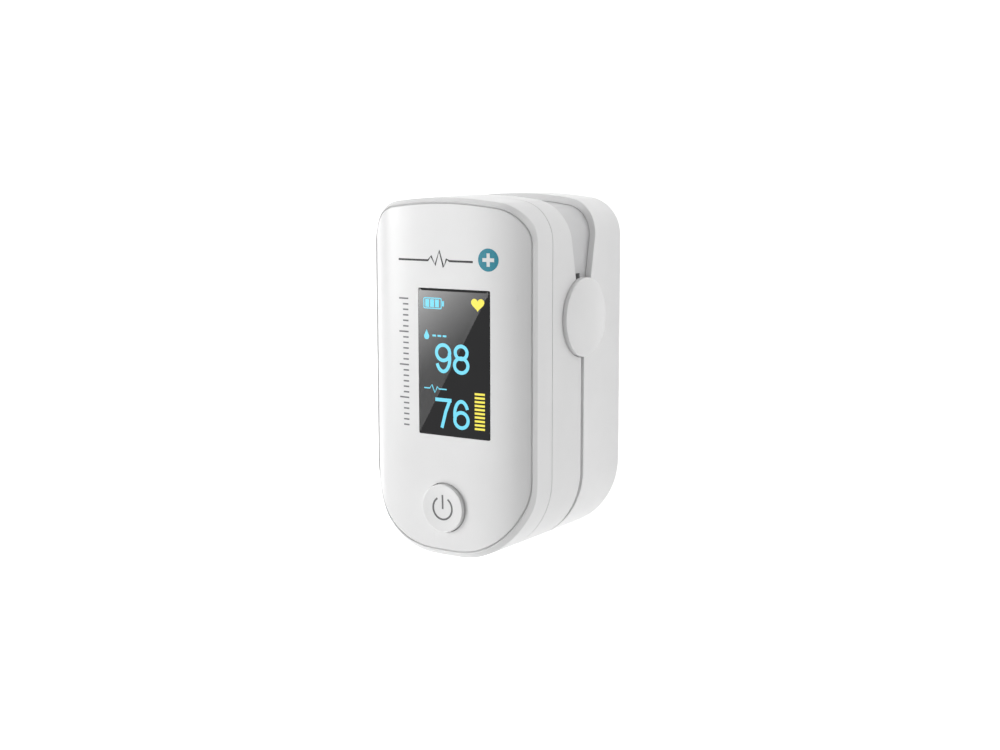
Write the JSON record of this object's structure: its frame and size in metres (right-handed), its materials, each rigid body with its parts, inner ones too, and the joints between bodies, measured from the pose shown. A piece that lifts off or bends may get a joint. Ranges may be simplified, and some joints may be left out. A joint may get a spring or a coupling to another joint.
{
  "type": "fingertip pulse oximeter",
  "caption": "Sprung fingertip clip of white plastic halves hinged together, with a display and a round button on its face and a sliding battery door on its back.",
  "frame": {"origin": "middle of the back, on the plane the oximeter lies on", "axes": "+Z out of the display, +Y from the finger mouth to the squeeze end, +X to the right of the display"},
  "size_m": [0.0336, 0.0586, 0.0321],
  "materials": {
    "housing_white": "satin moulded",
    "gloss_white": "polished",
    "window_glass": "polished black",
    "frame_grey": "moulded",
    "silicone": "soft matt",
    "board_green": "solder mask",
    "chip_black": "moulded",
    "steel": "bright",
    "nickel": "nickel plated",
    "copper_film": "polyimide film",
    "ceramic_tan": "matt",
    "led_clear": "clear epoxy",
    "battery_wrap": "printed sleeve"
  },
  "bodies": {
    "rear_half": {"rear_housing": "housing_white", "rear_deck": "frame_grey", "rear_finger_pad": "silicone", "sensor_board": "board_green", "photodiode": "chip_black", "rear_screw_1": "steel", "rear_screw_2": "steel", "rear_screw_3": "steel", "rear_screw_4": "steel", "battery_left": "battery_wrap", "battery_right": "battery_wrap", "contact_link": "nickel", "terminal_minus": "nickel", "terminal_plus": "nickel", "battery_spring_1": "nickel", "battery_spring_2": "nickel", "hinge_flex": "copper_film", "hinge_cap_left": "housing_white", "hinge_cap_right": "housing_white", "hinge_pin_left": "steel", "hinge_pin_right": "steel", "hinge_spring_left": "steel", "hinge_spring_right": "steel"},
    "front_half": {"face_cover": "gloss_white", "display_window": "window_glass", "front_housing": "housing_white", "mid_housing": "housing_white", "front_deck": "frame_grey", "main_board": "board_green", "tact_switch": "steel", "front_finger_pad": "silicone", "oled_holder": "chip_black", "oled_panel": "window_glass", "oled_ribbon": "copper_film", "microcontroller": "chip_black", "regulator": "chip_black", "crystal": "steel", "capacitor_1": "ceramic_tan", "capacitor_2": "ceramic_tan", "capacitor_3": "ceramic_tan", "inductor": "chip_black", "buzzer": "chip_black", "emitter_board": "board_green", "led_emitter": "led_clear", "deck_screw_1": "steel", "deck_screw_2": "steel", "deck_screw_3": "steel", "deck_screw_4": "steel"},
    "button": {"power_button": "gloss_white"},
    "door": {"battery_door": "housing_white"}
  },
  "joints": [
    {"name": "squeeze_hinge", "type": "hinge", "parent": "rear_half", "child": "front_half", "pos_m": [0, 0.009, 0.0139], "axis": [-1, 0, 0], "range_deg": [0, 22], "stiffness_Nm_per_rad": 0.35, "springref_deg": -20.05, "deforming": ["hinge_spring_left", "hinge_spring_right", "hinge_flex"]},
    {"name": "button_press", "type": "slide", "parent": "front_half", "child": "button", "axis": [0, 0, -1], "range_m": [0, 0.0004], "stiffness_N_per_m": 2500},
    {"name": "door_slide", "type": "slide", "parent": "rear_half", "child": "door", "axis": [0, 1, 0], "range_m": [0, 0.048]}
  ]
}
